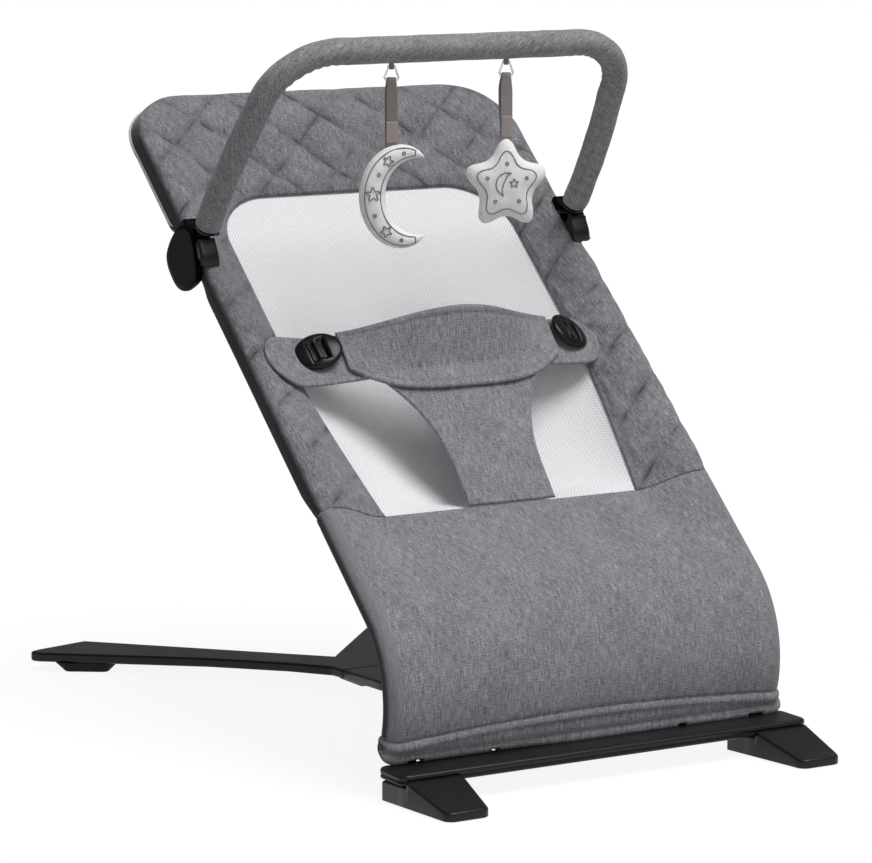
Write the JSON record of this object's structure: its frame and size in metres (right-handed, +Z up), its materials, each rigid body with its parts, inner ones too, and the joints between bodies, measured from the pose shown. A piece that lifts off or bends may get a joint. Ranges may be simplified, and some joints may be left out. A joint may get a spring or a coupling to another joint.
{
  "type": "baby bouncer",
  "caption": "Low baby bouncer: a grey fabric sling on a bent tube frame hinged to a flat forked base, with a belt harness and a padded toy bar carrying hanging soft toys",
  "frame": {"origin": "on the floor, under the middle of the bounding box", "axes": "+X across the seat to the sitter's left, +Y from the feet end to the head end, +Z up"},
  "size_m": [0.4778, 0.7274, 0.6236],
  "materials": {
    "satin_nylon": "satin",
    "gloss_acetal": "gloss",
    "powder_coat": "satin",
    "zinc_screw": "satin",
    "foot_rubber": "matte",
    "heather_cloth": "matte",
    "seat_mesh": "matte",
    "webbing": "satin",
    "plush": "matte",
    "clear_plastic": "gloss"
  },
  "bodies": {
    "base": {"front_bar": "satin_nylon", "front_foot_left": "satin_nylon", "front_foot_right": "satin_nylon", "front_foot_pad_left": "foot_rubber", "front_foot_pad_right": "foot_rubber", "spine": "powder_coat", "wishbone": "powder_coat", "junction_plate": "powder_coat", "junction_screw_front_left": "zinc_screw", "junction_screw_front_right": "zinc_screw", "junction_screw_rear_left": "zinc_screw", "junction_screw_rear_right": "zinc_screw", "rear_foot_left": "foot_rubber", "rear_foot_right": "foot_rubber", "hinge_bracket_outer_left": "satin_nylon", "hinge_bracket_outer_right": "satin_nylon", "hinge_bracket_inner_left": "satin_nylon", "hinge_bracket_inner_right": "satin_nylon", "bracket_screw_left": "zinc_screw", "bracket_screw_right": "zinc_screw"},
    "seat": {"cross_tube": "powder_coat", "side_tube_left": "powder_coat", "side_tube_right": "powder_coat", "upper_frame_tube": "powder_coat", "frame_insert_left": "powder_coat", "frame_insert_right": "powder_coat", "quilted_border": "heather_cloth", "lower_panel": "heather_cloth", "mesh_panel": "seat_mesh", "belt": "heather_cloth", "crotch_strap": "heather_cloth", "belt_flap": "heather_cloth", "buckle_left": "gloss_acetal", "buckle_right": "gloss_acetal", "buckle_webbing_left": "webbing", "buckle_webbing_right": "webbing"},
    "clips": {"toy_bar_clip_left": "gloss_acetal", "toy_bar_clip_right": "gloss_acetal", "pivot_pin_left": "powder_coat", "pivot_pin_right": "powder_coat"},
    "toy_bar": {"toy_bar_sleeve": "heather_cloth", "toy_bar_core": "powder_coat", "bar_end_left": "satin_nylon", "bar_end_right": "satin_nylon", "bar_loop_left": "webbing", "bar_loop_right": "webbing"},
    "ring_l": {"ring_left": "clear_plastic"},
    "ring_r": {"ring_right": "clear_plastic"},
    "toy_l": {"strap_left": "webbing", "moon_toy": "plush"},
    "toy_r": {"strap_right": "webbing", "star_toy": "plush"}
  },
  "joints": [
    {"name": "recline", "type": "hinge", "parent": "base", "child": "seat", "pos_m": [0, -0.2583, 0.0418], "axis": [-1, 0, 0], "range_deg": [0, 41.8]},
    {"name": "lift_off", "type": "slide", "parent": "seat", "child": "clips", "axis": [0, -0.6665, 0.7455], "range_m": [0, 0.05]},
    {"name": "toy_bar_tilt", "type": "hinge", "parent": "clips", "child": "toy_bar", "pos_m": [0, 0.06483, 0.44495], "axis": [1, 0, 0], "range_deg": [-35, 25]},
    {"name": "ring_swing_left", "type": "hinge", "parent": "toy_bar", "child": "ring_l", "pos_m": [-0.0695, -0.0519, 0.59779], "axis": [0.9063, -0.4226, 0], "range_deg": [-50, 50]},
    {"name": "ring_swing_right", "type": "hinge", "parent": "toy_bar", "child": "ring_r", "pos_m": [0.0491, -0.0519, 0.59779], "axis": [0.9063, -0.4226, 0], "range_deg": [-50, 50]},
    {"name": "toy_swing_left", "type": "hinge", "parent": "ring_l", "child": "toy_l", "pos_m": [-0.0695, -0.0519, 0.58539], "axis": [0.9063, -0.4226, 0], "range_deg": [-60, 60]},
    {"name": "toy_swing_right", "type": "hinge", "parent": "ring_r", "child": "toy_r", "pos_m": [0.0491, -0.0519, 0.58539], "axis": [0.9063, -0.4226, 0], "range_deg": [-60, 60]}
  ]
}
